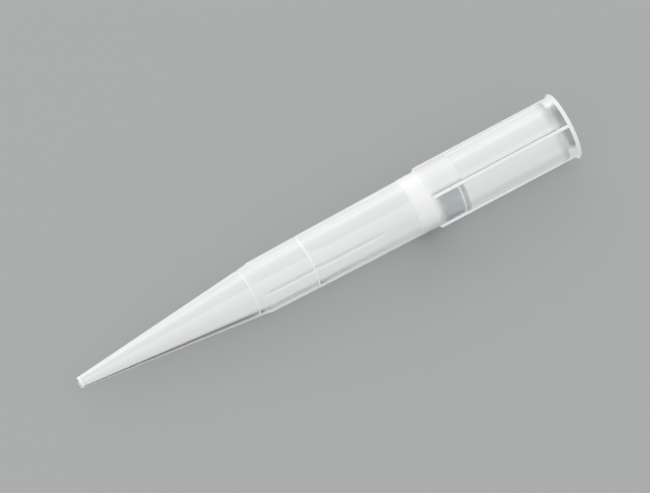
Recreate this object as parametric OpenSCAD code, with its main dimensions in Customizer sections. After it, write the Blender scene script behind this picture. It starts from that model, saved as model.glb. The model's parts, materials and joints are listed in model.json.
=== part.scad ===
// Filtered pipette tip for 1000 microlitres, in millimetres.
// One moulding, from a fine orifice through a cone and a barrel to a ribbed collar with a flared lip,
// and a porous plug seated inside it. It lies on its side, on the knee and on the lip, orifice towards +X.
// Heights along the tip are measured from the orifice.

/* [Point] */
// Outer diameter at the orifice
point_d = 1.48; // [1.24:0.02:1.8]
// Diameter of the hole that draws the liquid
orifice_d = 0.9; // [0.6:0.02:1.1]
// Length of the straight hole behind the orifice
orifice_land = 1; // [0.5:0.1:3]

/* [Cone] */
// Height of the foot of the knee
cone_l = 25.9; // [20:0.1:32]
// How far the wall steps out at the knee
knee_step = 0.12; // [0.06:0.01:0.2]
// Length of that step
knee_l = 0.3; // [0.2:0.05:0.6]
// Wall thickness where the bore of the cone ends
cone_wall = 0.34; // [0.26:0.01:0.42]
// How far below the knee the bore of the cone ends
bore_lead = 1.3; // [0.5:0.1:3]

/* [Barrel] */
// Outer diameter where the barrel begins
barrel_d = 7.06; // [5.8:0.02:8.6]
// Length of the barrel from the foot of the knee to the filter seat
barrel_l = 22.2; // [18:0.1:27]
// Length of the steeper part of the barrel, above the knee
foot_l = 7.3; // [4:0.1:10]
// Half angle of that steeper part, in degrees
foot_taper = 1.02; // [0.8:0.02:1.24]
// Half angle of the rest of the barrel, in degrees
barrel_taper = 0.63; // [0.4:0.01:0.8]
// Wall thickness of the barrel
barrel_wall = 0.48; // [0.38:0.01:0.6]

/* [Graduation] */
// Volume shown by the lower line, in microlitres
low_mark = 250; // [150:10:300]
// Volume shown by the upper line, in microlitres
high_mark = 500; // [400:10:700]
// Width of a line at the surface
mark_w = 0.36; // [0.2:0.02:0.5]
// Depth of a line
mark_depth = 0.04; // [0.02:0.01:0.08]

/* [Filter] */
// Length of the porous plug
filter_l = 3; // [2:0.1:4]
// Width of the ledge that the plug stands on
filter_ledge = 0.12; // [0.1:0.01:0.14]
// Gap between the plug and its bore
filter_gap = 0.02; // [0.01:0.01:0.02]
// Bevel round both ends of the plug
filter_bevel = 0.06; // [0.03:0.01:0.07]
// How far the wall steps out at the filter seat
seat_step = 0.045; // [0.02:0.005:0.08]
// Length of the clear wall between the plug and the socket
window_l = 4; // [2:0.1:6]

/* [Collar] */
// Length of the collar, from the lower ends of its ribs to the mouth
collar_l = 20.4; // [16:0.1:25]
// Distance from the filter seat to the lower ends of the ribs
collar_lead = 2.5; // [1.5:0.1:3.5]
// Half angle of the collar, in degrees
collar_taper = 0.63; // [0.4:0.01:0.8]
// Number of ribs
rib_count = 4; // [3:1:8]
// Width of a rib
rib_w = 0.42; // [0.3:0.02:0.6]
// Height of a rib above the collar at its lower end
rib_reach = 0.34; // [0.26:0.01:0.4]
// Height of a rib above the collar at the lip
rib_reach_end = 0.14; // [0.08:0.01:0.2]
// Turn of the first rib away from the ground, in degrees
rib_turn = 27; // [20:1:45]

/* [Socket] */
// Wall thickness round the sealing land
socket_wall = 0.43; // [0.34:0.01:0.46]
// Distance from the mouth to the sealing land
seal_depth = 7; // [5.5:0.1:9]
// Length of the sealing land, which is a true cylinder
seal_l = 3; // [2:0.1:4]
// Half angle of the bore between the sealing land and the mouth, in degrees
lead_taper = 1.2; // [0.8:0.1:1.5]
// Width of the step where the socket opens above the clear wall
socket_step = 0.06; // [0.03:0.01:0.08]

/* [Lip] */
// How far the lip stands out from the collar
lip_reach = 0.47; // [0.38:0.01:0.6]
// Length of the flare below the lip
flare_l = 1.05; // [0.8:0.05:1.4]
// Thickness of the lip's edge
lip_l = 0.2; // [0.1:0.05:0.3]
// Bevel inside the mouth
mouth_bevel = 0.26; // [0.15:0.01:0.32]
// Bevel outside the lip
lip_bevel = 0.06; // [0.03:0.01:0.1]

/* [Hidden] */
$fn = 96;

root_depth = 0.2;
rib_overrun = 0.65;
bisections = 24;
cut_clear = 0.3;
rib_pitch = 360 / rib_count;

// Heights along the tip
knee_at = cone_l + knee_l;
foot_at = cone_l + foot_l;
seat_at = cone_l + barrel_l;
plug_top_at = seat_at + filter_l;
socket_at = plug_top_at + window_l;
collar_at = seat_at + collar_lead;
tip_l = collar_at + collar_l;
edge_at = tip_l - lip_l;
flare_at = edge_at - flare_l;
seal_top_at = tip_l - seal_depth;
seal_at = seal_top_at - seal_l;
bore_knee_at = cone_l - bore_lead;
bevel_at = tip_l - 2 * mouth_bevel;

// Outer radii
knee_r = barrel_d / 2;
cone_r = knee_r - knee_step;
foot_r = knee_r + (foot_at - knee_at) * tan(foot_taper);
barrel_top_r = foot_r + (seat_at - foot_at) * tan(barrel_taper);
section_r = barrel_top_r + seat_step;
flare_r = section_r + (flare_at - seat_at) * tan(collar_taper);
lip_r = flare_r + lip_reach;
outline = [
    [0, point_d / 2],
    [cone_l, cone_r],
    [knee_at, knee_r],
    [foot_at, foot_r],
    [seat_at, barrel_top_r],
    [seat_at + 2 * seat_step, section_r],
    [flare_at, flare_r],
    [edge_at, flare_r]
];

// Bore radii, up to the filter seat and above it
liquid_bore = [
    [0, orifice_d / 2],
    [orifice_land, orifice_d / 2],
    [bore_knee_at, lookup(bore_knee_at, outline) - cone_wall],
    [foot_at, foot_r - barrel_wall],
    [seat_at, barrel_top_r - barrel_wall]
];
plug_bore_r = barrel_top_r - barrel_wall + filter_ledge;
window_r = plug_bore_r + (socket_at - seat_at) * tan(collar_taper) / 2;
seal_r = lookup((seal_at + seal_top_at) / 2, outline) - socket_wall;
mouth_r = seal_r + (bevel_at - seal_top_at) * tan(lead_taper);
socket_bore = [
    [seat_at, plug_bore_r],
    [socket_at, window_r],
    [socket_at + socket_step, window_r + socket_step],
    [seal_at, seal_r],
    [seal_top_at, seal_r],
    [bevel_at, mouth_r],
    [tip_l, mouth_r + mouth_bevel]
];

// Lying pose: the knee and the lip touch the ground
tilt = atan2(lip_r - knee_r, edge_at - knee_at);
axis_height = knee_r * cos(tilt) - knee_at * sin(tilt);
mouth_reach = tip_l * cos(tilt) + (lip_r - lip_bevel) * sin(tilt);
point_reach = point_d / 2 * sin(tilt);
middle = (mouth_reach - point_reach) / 2;

// Volume between two stations of a bore, each [height, radius]
function frustum(a, b) = PI * (b[0] - a[0]) * (a[1] * a[1] + a[1] * b[1] + b[1] * b[1]) / 3;

// Volume of one stretch of the liquid bore, as far as a height
function stretch(i, height) =
    let (a = liquid_bore[i], top = min(height, liquid_bore[i + 1][0]))
    top > a[0] ? frustum(a, [top, lookup(top, liquid_bore)]) : 0;

// Volume that the bore holds up to a height
function held(height, i = 0) =
    i > len(liquid_bore) - 2 ? 0 : stretch(i, height) + held(height, i + 1);

// Height at which the bore holds a volume
function level(volume, low = 0, high = seat_at, left = bisections) =
    let (mid = (low + high) / 2)
    left == 0 ? mid
        : held(mid) < volume ? level(volume, mid, high, left - 1)
        : level(volume, low, mid, left - 1);

// A station as a point of the half section, radius first
function points(stations) = [for (s = stations) [s[1], s[0]]];

module lie_down() {
    translate([middle, 0, axis_height]) rotate([0, 90 - tilt, 180]) children();
}

// Half section of the lip: a solid ring with a round hollow that sweeps out of the collar
module lip_section() {
    hollow_r = (flare_l * flare_l + lip_reach * lip_reach) / (2 * lip_reach);
    root_r = flare_r - root_depth;
    difference() {
        polygon([
            [root_r, flare_at],
            [lip_r, flare_at],
            [lip_r, edge_at],
            [lip_r - lip_bevel, tip_l],
            [root_r, tip_l]
        ]);
        translate([flare_r + hollow_r, flare_at]) circle(r = hollow_r);
    }
}

// Half section of a graduation line, cut into the surface
module mark_section(volume) {
    height = level(volume);
    surface_r = lookup(height, outline);
    translate([surface_r, height])
        polygon([
            [-mark_depth, -mark_w / 4],
            [0, -mark_w / 2],
            [cut_clear, -mark_w / 2],
            [cut_clear, mark_w / 2],
            [0, mark_w / 2],
            [-mark_depth, mark_w / 4]
        ]);
}

module wall_section() {
    difference() {
        union() {
            polygon(concat([[0, 0]], points(outline), [[flare_r, tip_l], [0, tip_l]]));
            lip_section();
        }
        polygon(concat([[0, -cut_clear]], [[orifice_d / 2, -cut_clear]], points(liquid_bore),
            points(socket_bore), [[mouth_r + mouth_bevel, tip_l + cut_clear], [0, tip_l + cut_clear]]));
        mark_section(low_mark);
        mark_section(high_mark);
    }
}

// One rib, rooted in the wall, rising at 45 degrees from the collar and running into the flare
module rib() {
    foot = lookup(collar_at, outline);
    top_at = flare_at + rib_overrun;
    rotate([90, 0, 0])
        linear_extrude(rib_w, center = true)
            polygon([
                [foot - root_depth, collar_at],
                [foot, collar_at],
                [foot + rib_reach, collar_at + rib_reach],
                [flare_r + rib_reach_end, flare_at],
                [flare_r + rib_reach_end, top_at],
                [flare_r - root_depth, top_at]
            ]);
}

module tip_body() {
    color([0.92, 0.94, 0.95, 0.6])
        lie_down()
            rotate([0, 0, rib_turn]) {
                rotate_extrude() wall_section();
                for (i = [0 : rib_count - 1])
                    rotate([0, 0, i * rib_pitch]) rib();
            }
}

module filter() {
    plug_r = plug_bore_r - filter_gap;
    color([0.98, 0.98, 0.97])
        lie_down()
            rotate_extrude()
                polygon([
                    [0, seat_at],
                    [plug_r - filter_bevel, seat_at],
                    [plug_r, seat_at + filter_bevel],
                    [plug_r, plug_top_at - filter_bevel],
                    [plug_r - filter_bevel, plug_top_at],
                    [0, plug_top_at]
                ]);
}

tip_body();
filter();
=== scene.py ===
import json
import math

import bmesh
import bpy
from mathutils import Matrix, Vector


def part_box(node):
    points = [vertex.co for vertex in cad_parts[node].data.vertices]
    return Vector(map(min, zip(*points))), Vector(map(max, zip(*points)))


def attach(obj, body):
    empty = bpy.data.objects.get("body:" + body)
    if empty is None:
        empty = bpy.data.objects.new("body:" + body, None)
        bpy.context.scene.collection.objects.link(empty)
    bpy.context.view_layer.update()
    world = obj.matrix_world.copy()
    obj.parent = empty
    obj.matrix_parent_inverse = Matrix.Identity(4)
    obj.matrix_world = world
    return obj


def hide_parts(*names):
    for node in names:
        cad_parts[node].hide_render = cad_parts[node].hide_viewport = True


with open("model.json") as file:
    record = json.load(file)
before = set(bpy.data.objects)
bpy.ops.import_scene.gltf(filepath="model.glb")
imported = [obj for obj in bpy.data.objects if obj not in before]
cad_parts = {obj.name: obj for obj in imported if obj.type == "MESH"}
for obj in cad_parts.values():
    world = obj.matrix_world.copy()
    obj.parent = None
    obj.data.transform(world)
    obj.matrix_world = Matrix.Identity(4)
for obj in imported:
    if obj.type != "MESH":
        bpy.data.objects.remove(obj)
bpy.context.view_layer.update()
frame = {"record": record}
mm = 0.001

# The axis of the tip, from the middle of its socket and the way the mouth faces
mounts = {m["name"]: m for m in frame["record"]["mounts"]}
socketMiddle = Vector(mounts["nozzle_socket"]["pos_m"])
axisOut = Vector(mounts["nozzle_socket"]["axis"]).normalized()
tilt = math.atan2(axisOut.z, abs(axisOut.x))
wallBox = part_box("tip_body")


def deselectAll():
    active = bpy.context.view_layer.objects.active
    if active and active.mode != "OBJECT":
        bpy.ops.object.mode_set(mode="OBJECT")
    bpy.ops.object.select_all(action="DESELECT")


def pick(obj):
    deselectAll()
    obj.select_set(True)
    bpy.context.view_layer.objects.active = obj


def goEdit(obj, mode):
    pick(obj)
    bpy.ops.object.mode_set(mode="EDIT")
    bpy.ops.mesh.select_mode(type=mode)
    bpy.ops.mesh.select_all(action="DESELECT")
    return bmesh.from_edit_mesh(obj.data)


# Adds rings between stations that are further apart than the step
def addRings(stations, step):
    full = [stations[0]]
    for (lowHeight, lowRadius), (height, radius) in zip(stations, stations[1:]):
        count = max(1, math.ceil(math.hypot(height - lowHeight, radius - lowRadius) / step))
        for i in range(1, count + 1):
            share = i / count
            full.append((lowHeight + (height - lowHeight) * share,
                         lowRadius + (radius - lowRadius) * share))
    return full


# Pulls one circle along the axis, ring by ring; stations are (height, radius) in millimetres
def turnRings(name, stations, sides):
    height, radius = stations[0]
    deselectAll()
    bpy.ops.mesh.primitive_circle_add(
        vertices=sides, radius=radius * mm, location=(0, 0, height * mm))
    obj = bpy.context.object
    obj.name = name
    bpy.ops.object.transform_apply(location=True, rotation=True, scale=True)
    bpy.ops.object.mode_set(mode="EDIT")
    bpy.ops.mesh.select_mode(type="VERT")
    bpy.ops.mesh.select_all(action="SELECT")
    for nextHeight, nextRadius in stations[1:]:
        bpy.ops.mesh.extrude_region_move(
            TRANSFORM_OT_translate={"value": (0, 0, (nextHeight - height) * mm)})
        grow = nextRadius / radius
        bpy.ops.transform.resize(
            value=(grow, grow, 1), center_override=(0, 0, nextHeight * mm))
        height, radius = nextHeight, nextRadius
    bpy.ops.object.mode_set(mode="OBJECT")
    return obj


def closeUp(obj, gap):
    goEdit(obj, "VERT")
    bpy.ops.mesh.select_all(action="SELECT")
    bpy.ops.mesh.remove_doubles(threshold=gap)
    bpy.ops.mesh.normals_make_consistent(inside=False)
    bpy.ops.object.mode_set(mode="OBJECT")


# Turns an upright piece onto its side, orifice towards +X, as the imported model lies
def layDown(obj):
    orificeX = wallBox[1][0] - tip["pointRadius"] * mm * math.sin(tilt)
    orifice = socketMiddle + axisOut * ((orificeX - socketMiddle.x) / axisOut.x)
    pick(obj)
    obj.rotation_euler = (0, math.pi / 2 - tilt, math.pi)
    obj.location = orifice
    bpy.ops.object.transform_apply(location=True, rotation=True, scale=True)
    return orifice


# Lengths are in millimetres, heights run from the orifice and stations are (height, radius)
tip = {
    "sides": 360,
    "length": 71.0,
    "ringStep": 3.0,
    "mergeGap": 0.001,
    "smoothAngle": 28,
    "pointRadius": 0.74,
    "outside": [  # from the orifice up: cone, knee, barrel, filter seat, collar
        (0, 0.700), (0.012, 0.727), (0.045, 0.7446), (0.35, 0.7761),
        (24.17, 3.2317), (24.37, 3.2523), (24.46, 3.2216), (24.64, 3.2402), (24.73, 3.2894),
        (25.82, 3.4018), (25.92, 3.4160), (26.16, 3.5160), (26.26, 3.5311),
        (32.66, 3.6450), (32.90, 3.6493), (32.99, 3.6109), (33.17, 3.6141), (33.26, 3.6553),
        (48.06, 3.8181), (48.11, 3.8230), (48.17, 3.8570), (48.23, 3.8640),
        (50.60, 3.8901), (51.10, 3.8956), (55.12, 3.9400), (69.75, 4.1015)],
    "flareRise": [0.2, 0.4, 0.612, 0.75, 0.86, 0.95, 1.02, 1.05],
    "flareFoot": (69.75, 4.1015),
    "flareReach": 0.4685,
    "lip": [(70.92, 4.5355), (70.975, 4.512), (71, 4.470), (71, 4.035),
            (70.985, 4.000), (70.93, 3.952)],
    "inside": [  # from the mouth back down to the orifice
        (70.54, 3.757), (70.44, 3.7255), (64.05, 3.592), (63.9, 3.5915), (61, 3.5915),
        (55.18, 3.5572), (55.15, 3.547), (55.11, 3.507), (55.08, 3.4970),
        (48.10, 3.4585), (48.10, 3.3385),
        (33.2, 3.1746), (24.7, 2.9395), (24.5, 2.9255), (1.05, 0.4560), (0.95, 0.450),
        (0.03, 0.450), (0, 0.480), (0, 0.700)],
    "ribAngles": [27, 117, 207, 297],
    "ribHalfAngle": 3,
    "ribMargin": 0.1,  # how many degrees past a rib's side still count as the rib
    "ribFoot": 50.60,
    "ribEnd": 70.362,
    "ribReach": 0.34,
    "ribTopRadii": (4.2301, 4.2415),
    "ribRound": 0.05,
    "ribEdges": {"least": 0.3, "outside": 4.2, "spread": 0.3, "margin": 0.01},
    "outerFrom": 3.8,  # faces of the collar further out than this belong to its outside
}

plug = {
    "sides": 220,
    "mergeGap": 0.0001,
    "radius": 3.4385,
    "bottom": 48.10,
    "top": 51.10,
    "bevel": 0.06,
    "ringStep": 0.13,
    "poleRadius": 0.05,
    "poleMargin": 0.01,
    "beadSize": 0.16,
    "beadDepth": 0.035,
    "grain": {"Scale": 7000},
    "tones": [(0.3, (0.80, 0.81, 0.80)), (0.6, (0.95, 0.95, 0.94))],
    "roughness": 0.85,
    "glow": 0.8,
    "glowDepth": 2.5,
    "bump": 0.7,
    "bumpDepth": 0.05,
}


# The hollow under the lip is an arc that leaves the collar without a corner
def flareStations():
    foot, radius = tip["flareFoot"]
    rise, reach = tip["flareRise"][-1], tip["flareReach"]
    hollow = (rise ** 2 + reach ** 2) / (2 * reach)
    return [(foot + h, radius + hollow - math.sqrt(hollow ** 2 - h ** 2))
            for h in tip["flareRise"]]


# Degrees between a point of the upright tip and the middle of the nearest rib
def fromRib(point):
    turn = math.degrees(math.atan2(point.y, point.x))
    return min(abs((turn - rib + 180) % 360 - 180) for rib in tip["ribAngles"])


# Extrudes the faces of the ribs and sets each ring of them to the ribs' own slope
def raiseRibs(wall):
    bm = goEdit(wall, "FACE")
    low, high = tip["ribFoot"] * mm, tip["ribEnd"] * mm
    for face in bm.faces:
        middle = face.calc_center_median()
        outer = math.hypot(middle.x, middle.y) > tip["outerFrom"] * mm
        rib = fromRib(middle) < tip["ribHalfAngle"] + tip["ribMargin"]
        face.select = outer and rib and low < middle.z < high
    bmesh.update_edit_mesh(wall.data)
    bpy.ops.mesh.extrude_region_move(TRANSFORM_OT_translate={"value": (0, 0, 0)})
    bpy.ops.mesh.select_mode(type="VERT")
    bm = bmesh.from_edit_mesh(wall.data)
    rings = {}
    for vert in bm.verts:
        if vert.select:
            rings.setdefault(round(vert.co.z / mm, 3), []).append(vert.index)
    lowRadius, highRadius = tip["ribTopRadii"]
    foot, end = tip["ribFoot"] + tip["ribReach"], tip["flareFoot"][0]
    for height, members in sorted(rings.items()):
        bpy.ops.mesh.select_all(action="DESELECT")
        bm = bmesh.from_edit_mesh(wall.data)
        bm.verts.ensure_lookup_table()
        for i in members:
            bm.verts[i].select = True
        bm.select_flush_mode()
        first = bm.verts[members[0]].co
        share = min(1, max(0, (height - foot) / (end - foot)))
        wanted = max(lowRadius + (highRadius - lowRadius) * share,
                     math.hypot(first.x, first.y) / mm)
        grow = wanted * mm / math.hypot(first.x, first.y)
        bpy.ops.transform.resize(
            value=(grow, grow, 1), center_override=(0, 0, height * mm))
        if height < foot:
            bpy.ops.transform.translate(value=(0, 0, tip["ribReach"] * mm))
    bpy.ops.object.mode_set(mode="OBJECT")
    print("ribs raised over", len(rings), "rings")


# Rounds the two long edges of each rib
def roundRibs(wall):
    bm = goEdit(wall, "EDGE")
    edges = tip["ribEdges"]
    low = (tip["ribFoot"] + tip["ribReach"] - edges["margin"]) * mm
    high = (tip["flareFoot"][0] + edges["margin"]) * mm
    count = 0
    for edge in bm.edges:
        a, b = edge.verts[0].co, edge.verts[1].co
        along = abs(a.z - b.z) > edges["least"] * mm
        proud = min(math.hypot(p.x, p.y) for p in (a, b)) > edges["outside"] * mm
        side = abs(fromRib(a) - tip["ribHalfAngle"]) < edges["spread"]
        inside = low < min(a.z, b.z) and max(a.z, b.z) < high
        edge.select = along and proud and side and inside
        count += edge.select
    bm.select_flush_mode()
    bmesh.update_edit_mesh(wall.data)
    bpy.ops.mesh.bevel(offset=tip["ribRound"] * mm, segments=2, affect="EDGES")
    bpy.ops.object.mode_set(mode="OBJECT")
    print("rib edges rounded:", count)


def makeWall():
    outside = addRings(tip["outside"], tip["ringStep"])
    inside = addRings([tip["lip"][-1]] + tip["inside"], tip["ringStep"])[1:]
    stations = outside + flareStations() + tip["lip"] + inside
    wall = turnRings("tipWall", stations, tip["sides"])
    closeUp(wall, tip["mergeGap"] * mm)
    raiseRibs(wall)
    closeUp(wall, tip["mergeGap"] * mm)
    roundRibs(wall)
    pick(wall)
    bpy.ops.object.shade_smooth_by_angle(angle=math.radians(tip["smoothAngle"]))
    return wall


def makePlug():
    edge, bevel, margin = plug["radius"], plug["bevel"], plug["poleMargin"]
    stations = addRings([
        (plug["bottom"], plug["poleRadius"]), (plug["bottom"], edge - bevel),
        (plug["bottom"] + bevel, edge), (plug["top"] - bevel, edge),
        (plug["top"], edge - bevel), (plug["top"], plug["poleRadius"])], plug["ringStep"])
    obj = turnRings("filterPlug", stations, plug["sides"])
    for height in (plug["bottom"], plug["top"]):
        bm = goEdit(obj, "VERT")
        for vert in bm.verts:
            near = math.hypot(vert.co.x, vert.co.y) < (plug["poleRadius"] + margin) * mm
            vert.select = near and abs(vert.co.z - height * mm) < margin * mm
        bm.select_flush_mode()
        bpy.ops.mesh.merge(type="CENTER")
    closeUp(obj, plug["mergeGap"] * mm)
    beads = bpy.data.textures.new("plugBeads", "VORONOI")
    beads.noise_scale = plug["beadSize"] * mm
    lumps = obj.modifiers.new("beads", "DISPLACE")
    lumps.texture = beads
    lumps.texture_coords = "LOCAL"
    lumps.mid_level = 1  # the hollows between the beads only go inwards
    lumps.strength = plug["beadDepth"] * mm
    pick(obj)
    bpy.ops.object.modifier_apply(modifier="beads")
    bpy.ops.object.shade_smooth()
    return obj


wall = makeWall()
orifice = layDown(wall)
print("tip wall:", len(wall.data.polygons), "faces")
filterPlug = makePlug()
layDown(filterPlug)
print("filter plug:", len(filterPlug.data.polygons), "faces")


def addNode(tree, kind, **values):
    node = tree.nodes.new(kind)
    for key, value in values.items():
        setattr(node, key, value)
    return node


def mathNode(tree, operation, *values):
    node = addNode(tree, "ShaderNodeMath", operation=operation)
    for socket, value in zip(node.inputs, values):
        if isinstance(value, (int, float)):
            socket.default_value = value
        else:
            tree.links.new(value, socket)
    return node.outputs[0]


# Value by place: steps are (place, value) or (place, color), with places up to the length
def addRamp(tree, source, steps, length=1):
    ramp = addNode(tree, "ShaderNodeValToRGB")
    elements = ramp.color_ramp.elements
    while len(elements) < len(steps):
        elements.new(0.5)
    for element, (place, value) in zip(elements, steps):
        color = value if isinstance(value, tuple) else (value, value, value)
        element.position = place / length
        element.color = (*color, 1)
    tree.links.new(source, ramp.inputs["Fac"])
    return ramp.outputs["Color"]


def objectPlace(tree):
    return addNode(tree, "ShaderNodeTexCoord").outputs["Object"]


# Share of the way from the orifice to the mouth
def alongTip(tree, place):
    shift = addNode(tree, "ShaderNodeVectorMath", operation="SUBTRACT")
    shift.inputs[1].default_value = orifice
    along = addNode(tree, "ShaderNodeVectorMath", operation="DOT_PRODUCT")
    along.inputs[1].default_value = axisOut
    tree.links.new(place, shift.inputs[0])
    tree.links.new(shift.outputs[0], along.inputs[0])
    return mathNode(tree, "DIVIDE", along.outputs["Value"], tip["length"] * mm)


# Fine mottle and pits that a moulded or sintered plastic shows
grainDetail = {"Scale": 4, "Cloud Scale": 3}


def makeGrainGroup():
    group = bpy.data.node_groups.new("plasticGrain", "ShaderNodeTree")
    face = group.interface
    face.new_socket(name="Vector", in_out="INPUT", socket_type="NodeSocketVector")
    face.new_socket(name="Scale", in_out="INPUT", socket_type="NodeSocketFloat")
    face.new_socket(name="Cloud Scale", in_out="INPUT", socket_type="NodeSocketFloat")
    face.new_socket(name="Height", in_out="OUTPUT", socket_type="NodeSocketFloat")
    face.new_socket(name="Cloud", in_out="OUTPUT", socket_type="NodeSocketFloat")
    start = group.nodes.new("NodeGroupInput")
    end = group.nodes.new("NodeGroupOutput")
    fine = addNode(group, "ShaderNodeTexNoise")
    cloud = addNode(group, "ShaderNodeTexNoise")
    for node, scale in ((fine, "Scale"), (cloud, "Cloud Scale")):
        node.inputs["Detail"].default_value = grainDetail[scale]
        group.links.new(start.outputs["Vector"], node.inputs["Vector"])
        group.links.new(start.outputs[scale], node.inputs["Scale"])
    group.links.new(fine.outputs["Fac"], end.inputs["Height"])
    group.links.new(cloud.outputs["Fac"], end.inputs["Cloud"])
    return group


grainGroup = makeGrainGroup()


def newMaterial(name):
    material = bpy.data.materials.new(name)
    material.use_nodes = True
    tree = material.node_tree
    shader = tree.nodes["Principled BSDF"]
    return material, tree, shader


def grainNode(tree, vector, scales):
    node = addNode(tree, "ShaderNodeGroup", node_tree=grainGroup)
    tree.links.new(vector, node.inputs["Vector"])
    for name, scale in scales.items():
        node.inputs[name].default_value = scale
    return node


def bumpNormal(tree, grain, shader, strength, depth):
    node = addNode(tree, "ShaderNodeBump")
    node.inputs["Strength"].default_value = strength
    node.inputs["Distance"].default_value = depth * mm
    tree.links.new(grain.outputs["Height"], node.inputs["Height"])
    tree.links.new(node.outputs["Normal"], shader.inputs["Normal"])
    return node.outputs["Normal"]


def mixShaders(tree, share, first, second):
    mix = addNode(tree, "ShaderNodeMixShader")
    for value, socket in zip((share, first, second), mix.inputs):
        tree.links.new(value, socket)
    return mix.outputs[0]


# Shadow rays and scattered light pass the wall with a tint, so that what lies behind it is lit
def clearShadow(tree, surface, tint):
    path = addNode(tree, "ShaderNodeLightPath")
    clear = addNode(tree, "ShaderNodeBsdfTransparent")
    clear.inputs["Color"].default_value = (tint, tint, tint, 1)
    soft = mathNode(tree, "MAXIMUM", path.outputs["Is Shadow Ray"],
                    path.outputs["Is Diffuse Ray"])
    mixed = mixShaders(tree, soft, surface, clear.outputs[0])
    tree.links.new(mixed, tree.nodes["Material Output"].inputs["Surface"])


# How far a surface faces some way, from 0 for away from it to 1 for along it
def facingWay(tree, way):
    place = addNode(tree, "ShaderNodeTexCoord")
    dot = addNode(tree, "ShaderNodeVectorMath", operation="DOT_PRODUCT")
    dot.inputs[1].default_value = Vector(way).normalized()
    tree.links.new(place.outputs["Normal"], dot.inputs[0])
    return mathNode(tree, "MULTIPLY_ADD", dot.outputs["Value"], 0.5, 0.5)


# Product of some of the plastic's ramps, each read from its own source
def rampProduct(tree, sources, names):
    value = None
    for name in names:
        source, steps = plastic["ramps"][name]
        length = tip["length"] if source == "along" else 1
        ramp = addRamp(tree, sources[source], steps, length)
        value = mathNode(tree, "MULTIPLY", value, ramp) if value else ramp
    return value


# Cloudy part of the plastic: what faces up scatters light back and the rest lets it through,
# under a thin gloss
def milkyShader(tree, sources, color, rough, normal):
    through = addNode(tree, "ShaderNodeBsdfTranslucent")
    back = addNode(tree, "ShaderNodeBsdfDiffuse")
    sheen = addNode(tree, "ShaderNodeBsdfGlossy")
    fresnel = addNode(tree, "ShaderNodeFresnel")
    for node in (through, back, sheen, fresnel):
        tree.links.new(normal, node.inputs["Normal"])
    for node in (through, back):
        node.inputs["Color"].default_value = (*color, 1)
    tree.links.new(rough, sheen.inputs["Roughness"])
    fresnel.inputs["IOR"].default_value = plastic["ior"]
    milk = mixShaders(tree, rampProduct(tree, sources, ["back"]),
                      through.outputs[0], back.outputs[0])
    gloss = mathNode(tree, "MULTIPLY", fresnel.outputs[0],
                     rampProduct(tree, sources, ["sheen"]))
    return mixShaders(tree, gloss, milk, sheen.outputs[0])


# Clear plastic with a share of milk that goes by the angle of view, because an edge-on wall is
# thicker, and on the frosted wall by where on the tip it is. The changes by place also paint
# light
# and shade: a whiter lit side, a painted highlight line and darker lines
def addMilk(tree, sources, clear, milky, milkSteps, patterned):
    share = addRamp(tree, sources["view"], milkSteps)
    if patterned:
        for operation, names in plastic["milkChanges"]:
            share = mathNode(tree, operation, share, rampProduct(tree, sources, names))
    return mixShaders(tree, share, clear, milky)


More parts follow.
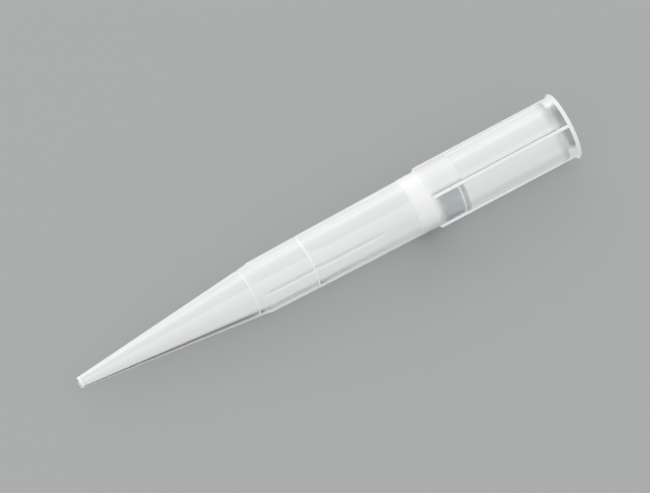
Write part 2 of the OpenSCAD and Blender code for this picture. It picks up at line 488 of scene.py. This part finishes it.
plastic = {
    "ior": 1.49,
    "clearColor": (0.74, 0.77, 0.785),
    "mottle": [(0.35, 0.97), (0.65, 1)],  # how far the clear color darkens in patches
    "grain": {"Scale": 9000, "Cloud Scale": 700},
    "bumpDepth": 0.005,
    # Painted light: the side that faces this way is painted whiter, with more milk in the
    # plastic, as if lit from there
    "litSide": (0, -0.37, 0.93),  # the way that the whitest side faces
    # Painted shade: the plastic's colour is darkened low on the cone by this much, in place of
    # the dark floor seen through the wall
    "conePaintedShade": 0.86,  # how dark the clear plastic is low on the cone
    # What each ramp goes by, and its steps: up and the lit side from 0, facing away, to 1, view
    # from square on to edge on, and along from the orifice
    "ramps": {
        "back": ("up", [(0.40, 0.2), (0.65, 0.85)]),
        "sheen": ("up", [(0.30, 0.15), (0.60, 1)]),
        # Painted shade: a clearer, so darker, line along the top of the cone and the barrel, in
        # place of a dark gap between the lights that it reflects
        "crest": ("up", [(0.983, 0), (0.995, 1)]),
        "crestLength": ("along", [(2, 0.30), (22, 0.30), (26, 0.14), (47, 0.14)]),
        # Painted light: a whiter line along the low barrel, with a clearer line beside it,
        # standing in for the floor seen bent through the wall
        "line": ("up", [(0.818, 0), (0.828, 0.3), (0.842, 0.3), (0.850, 0)]),
        "besideLine": ("up", [(0.850, 0), (0.862, 0.24), (0.880, 0.24), (0.900, 0)]),
        "lineLength": ("along", [(25.5, 0), (27, 1), (40, 1), (44, 0)]),
        "lowBarrel": ("up", [(0.49, 0), (0.53, 1), (0.60, 1), (0.68, 0)]),
        "lowBarrelView": ("view", [(0.33, 0), (0.40, 0.50), (0.52, 0.50), (0.62, 0)]),
        "lowBarrelLength": ("along", [(23.5, 0), (25.5, 1), (37, 1), (46, 0)]),
        # Low on the cone: the colour there is darkened as painted shade, and the plastic is
        # made clearer where the wall is seen at a middling slope
        "lowCone": ("up", [(0.42, 0), (0.46, 1), (0.60, 1), (0.66, 0)]),
        "lowConeView": ("view", [(0.39, 0), (0.45, 0.8), (0.68, 0.9), (0.78, 0)]),
        "lowConeLength": ("along", [(10, 1), (23.5, 0.78), (25.5, 0)]),
        "wall": ("along", [(0, 1), (50.7, 1), (51.6, 0), (54.8, 0), (55.2, 1), (68.3, 1),
                           (69.6, 0.3), (70.0, 0.05)]),
        # Painted light: the cone, the barrel and the collar are painted whiter on their lit
        # side
        "top": ("litSide", [(0.62, 0), (0.85, 0.74), (0.985, 0.75), (1, 0.80)]),
        "litTopLength": ("along", [(50.7, 1), (51.5, 0), (54.8, 0), (55.2, 1), (68.3, 1),
                                (69.6, 0.3), (70.0, 0.05)]),
        # Painted light: the window above the plug is painted white on its lit side
        "windowLitTop": ("litSide", [(0.80, 0), (0.90, 0.85)]),
        "windowLength": ("along", [(50.2, 0), (50.7, 1), (55.2, 1), (55.7, 0)]),
        "flareEdge": ("view", [(0.20, 0), (0.36, 0.92)]),
        "flareLength": ("along", [(68.9, 0), (69.6, 1)]),
        "backed": ("along", [(43.5, 0), (44.6, 0.55), (47.6, 0.68), (48.4, 0.90),
                             (50.5, 0.90), (51.7, 0), (54.1, 0), (54.22, 0.75),
                             (54.38, 0.75), (54.5, 0), (54.8, 0), (55.2, 0.62),
                             (68.3, 0.62), (69.6, 0)]),
    },
    # What is done to the share of milk, in turn, with the product of these ramps
    "milkChanges": [
        # Painted shade line along the top of the cone and the barrel
        ("SUBTRACT", ["crest", "crestLength"]),
        # Painted highlight line along the low barrel, and the clearer line beside it
        ("ADD", ["line", "lineLength"]),
        ("SUBTRACT", ["besideLine", "lineLength"]),
        ("SUBTRACT", ["lowBarrelView", "lowBarrel", "lowBarrelLength"]),
        ("SUBTRACT", ["lowConeView", "lowCone", "lowConeLength"]),
        ("MULTIPLY", ["wall"]),  # the window above the plug and the flare are clearer
        # Painted light: more milk, so whiter, on the lit side of the tip and of the window
        ("MAXIMUM", ["top", "litTopLength"]),
        ("MAXIMUM", ["windowLitTop", "windowLength"]),
        ("MAXIMUM", ["flareEdge", "flareLength"]),
        ("MAXIMUM", ["backed"]),  # the wall is whiter where the plug or the socket backs it
    ],
    # Color is that of the milk, rough the range of the grain, shadow the tint of light that
    # passes, and milk the share from square on to edge on
    "zones": {
        "frostedPlastic": {
            "color": (0.98, 0.985, 0.985), "rough": (0.17, 0.24), "bump": 0.02,
            "shadow": 0.87, "patterned": True,
            "milk": [(0, 0.86), (0.10, 0.78), (0.16, 0.79), (0.27, 0.87), (0.37, 0.72),
                     (0.50, 0.72), (0.62, 1)]},
        # This clear plastic serves only the painted shade lines at the ribs' roots
        "rootShadeClearPlastic": {
            "color": (0.93, 0.95, 0.955), "rough": (0.06, 0.10), "bump": 0.05,
            "shadow": 0.86, "patterned": False, "milk": [(0, 0.2), (0.6, 0.2), (0.8, 0.6)]},
        "ridgePlastic": {
            "color": (0.985, 0.99, 0.99), "rough": (0.12, 0.2), "bump": 0.06,
            "shadow": 0.86, "patterned": False, "milk": [(0, 1), (1, 1)]},
        "borePlastic": {"rough": (0.04, 0.07), "bump": 0.01, "shadow": 0.95, "milk": []},
    },
    # Rings of ridgePlastic: the orifice, two volume lines, the filter seat and the lip
    "ridgeBands": [(-0.1, 0.3), (24.44, 24.68), (32.94, 33.2), (48.06, 48.2), (70.5, 71.0)],
    "skinDepth": 0.12,  # faces further inside than this belong to the bore
    "ribProud": 0.03,  # faces further outside than this belong to a rib
    "ribToFlare": 70.2,  # from here the rib runs on over the flare, up to the next height
    "ribToLip": 70.9,
    # Painted shade: a clear line beside the upper side of each rib, near the top of the lying
    # tip, reads as shade at the rib's root
    "rootAngle": 2.0,  # the clear line beside each rib, in degrees
    "rootSpread": 50,  # how far from the top of the lying tip it shows, in degrees
    "rootEnd": 69.9,
}


def tipPlastic(name, zone):
    material, tree, shader = newMaterial(name)
    place = objectPlace(tree)
    view = addNode(tree, "ShaderNodeLayerWeight")
    view.inputs["Blend"].default_value = 0.5
    sources = {"along": alongTip(tree, place), "view": view.outputs["Facing"],
               "up": facingWay(tree, (0, 0, 1)), "litSide": facingWay(tree, plastic["litSide"])}
    grain = grainNode(tree, place, plastic["grain"])
    tones = [(spot, tuple(c * dark for c in plastic["clearColor"]))
             for spot, dark in plastic["mottle"]]
    # Painted shade: the plastic's mottled colour is darkened low on the cone
    shade = mathNode(tree, "MULTIPLY", rampProduct(tree, sources, ["lowCone", "lowConeLength"]),
                     plastic["conePaintedShade"])
    mottledAndShaded = addNode(tree, "ShaderNodeVectorMath", operation="SCALE")
    tree.links.new(addRamp(tree, grain.outputs["Cloud"], tones), mottledAndShaded.inputs[0])
    tree.links.new(mathNode(tree, "SUBTRACT", 1, shade), mottledAndShaded.inputs["Scale"])
    tree.links.new(mottledAndShaded.outputs[0], shader.inputs["Base Color"])
    smooth, dull = zone["rough"]
    rough = mathNode(tree, "MULTIPLY_ADD", grain.outputs["Cloud"], dull - smooth, smooth)
    tree.links.new(rough, shader.inputs["Roughness"])
    normal = bumpNormal(tree, grain, shader, zone["bump"], plastic["bumpDepth"])
    shader.inputs["IOR"].default_value = plastic["ior"]
    shader.inputs["Transmission Weight"].default_value = 1
    surface = shader.outputs[0]
    if zone["milk"]:
        milky = milkyShader(tree, sources, zone["color"], rough, normal)
        surface = addMilk(tree, sources, surface, milky, zone["milk"], zone["patterned"])
    clearShadow(tree, surface, zone["shadow"])
    return material


# Radius of the outside, without the ribs and the flare
def outsideRadius(height):
    stations = tip["outside"]
    for (low, lowRadius), (high, radius) in zip(stations, stations[1:]):
        if height < high:
            return lowRadius + (radius - lowRadius) * (height - low) / (high - low)
    return radius


# Gives the ribs, rings, bore and clear roots of the ribs their own zones of the plastic. The
# clear roots are painted shade lines beside the ribs
def paintWall(wall):
    zones = list(plastic["zones"])
    for name in zones:
        wall.data.materials.append(tipPlastic(name, plastic["zones"][name]))
    lean = Vector((-axisOut.z, 0, axisOut.x)).normalized()
    if lean.z < 0:
        lean = -lean
    ribSide = tip["ribHalfAngle"]
    for face in wall.data.polygons:
        middle = face.center - orifice
        height = middle.dot(axisOut) / mm
        spoke = middle - axisOut * height * mm
        turn = math.degrees(math.atan2(-spoke.y, -spoke.dot(lean))) % 360
        proud = spoke.length / mm - outsideRadius(height)
        inner = proud < -plastic["skinDepth"]
        # Degrees past the nearest rib, counted upwards on both sides of the tip
        aboveRib = min(((turn - rib) if rib < 180 else (rib - turn)
                        for rib in tip["ribAngles"]), key=abs)
        onCollar = (tip["ribFoot"] < height < plastic["ribToFlare"]
                    and proud > plastic["ribProud"])
        onFlare = plastic["ribToFlare"] <= height < plastic["ribToLip"] and not inner
        isRib = (onCollar or onFlare) and abs(aboveRib) < ribSide + tip["ribMargin"]
        # The clear root beside each rib's upper side is a painted shade line
        isRootShadeLine = (tip["ribFoot"] < height < plastic["rootEnd"]
                  and abs(turn - 180) < plastic["rootSpread"]
                  and ribSide < aboveRib < ribSide + plastic["rootAngle"])
        isRing = not inner and any(low < height < high for low, high in plastic["ridgeBands"])
        if isRib or isRing:
            zone = "ridgePlastic"
        elif inner:
            zone = "borePlastic"
        elif isRootShadeLine:
            zone = "rootShadeClearPlastic"
        else:
            zone = "frostedPlastic"
        face.material_index = zones.index(zone)


def plugPlastic():
    material, tree, shader = newMaterial("porousPlastic")
    grain = grainNode(tree, objectPlace(tree), plug["grain"])
    tone = addRamp(tree, grain.outputs["Height"], plug["tones"])
    tree.links.new(tone, shader.inputs["Base Color"])
    shader.inputs["Roughness"].default_value = plug["roughness"]
    shader.inputs["Subsurface Weight"].default_value = plug["glow"]
    shader.inputs["Subsurface Radius"].default_value = (1, 1, 1)
    shader.inputs["Subsurface Scale"].default_value = plug["glowDepth"] * mm
    bumpNormal(tree, grain, shader, plug["bump"], plug["bumpDepth"])
    return material


paintWall(wall)
filterPlug.data.materials.append(plugPlastic())
print("materials done")

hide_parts("tip_body")
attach(wall, "root")
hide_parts("filter")
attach(filterPlug, "root")

stage = {
    "floorSize": 8.0,
    "floorColor": (0.37, 0.38, 0.38),
    "floorRoughness": 0.6,
    "roomLight": [(0, 0.84), (0.15, 0.84), (0.22, 0.34), (0.45, 0.34), (0.52, 0.66),
                  (0.62, 0.66), (0.74, 0.40), (1, 0.40)],  # from the far side to the near one
    "lightPower": 2.1,
    "cameraAzimuth": 59.99,
    "cameraElevation": 64,
    "cameraDistance": 1944.23,  # this and the aim are in millimetres
    "cameraAim": (-0.507, -0.278, 4.811),
    "lens": 850,
    "clipStart": 0.01,
}


def makeFloor():
    deselectAll()
    bpy.ops.mesh.primitive_plane_add(size=stage["floorSize"], location=(0, 0, 0))
    floor = bpy.context.object
    floor.name = "studioFloor"
    material, tree, shader = newMaterial("studioPaper")
    shader.inputs["Base Color"].default_value = (*stage["floorColor"], 1)
    shader.inputs["Roughness"].default_value = stage["floorRoughness"]
    floor.data.materials.append(material)


def direction(azimuth, elevation):
    a, e = math.radians(azimuth), math.radians(elevation)
    return Vector((math.cos(e) * math.cos(a), math.cos(e) * math.sin(a), math.sin(e)))


def makeCamera():
    data = bpy.data.cameras.new("studioCamera")
    data.lens = stage["lens"]
    data.clip_start = stage["clipStart"]
    camera = bpy.data.objects.new("studioCamera", data)
    bpy.context.scene.collection.objects.link(camera)
    out = direction(stage["cameraAzimuth"], stage["cameraElevation"])
    camera.location = Vector(stage["cameraAim"]) * mm + out * stage["cameraDistance"] * mm
    camera.rotation_euler = out.to_track_quat("Z", "Y").to_euler()
    bpy.context.scene.camera = camera


# A broad soft panel on the far side of a plain room
def makeWorld():
    world = bpy.data.worlds.new("studioWorld")
    bpy.context.scene.world = world
    world.use_nodes = True
    tree = world.node_tree
    back = tree.nodes["Background"]
    place = addNode(tree, "ShaderNodeTexCoord")
    split = addNode(tree, "ShaderNodeSeparateXYZ")
    tree.links.new(place.outputs["Generated"], split.inputs[0])
    side = mathNode(tree, "MULTIPLY_ADD", split.outputs["Y"], 0.5, 0.5)
    light = addRamp(tree, side, stage["roomLight"])
    strength = addNode(tree, "ShaderNodeVectorMath", operation="SCALE")
    strength.inputs["Scale"].default_value = stage["lightPower"]
    tree.links.new(light, strength.inputs[0])
    tree.links.new(strength.outputs[0], back.inputs["Color"])


makeFloor()
makeCamera()
makeWorld()
bpy.context.scene.cycles.caustics_refractive = False
bpy.context.scene.cycles.caustics_reflective = False
bpy.context.scene.view_settings.view_transform = "Standard"

print("scene ready")
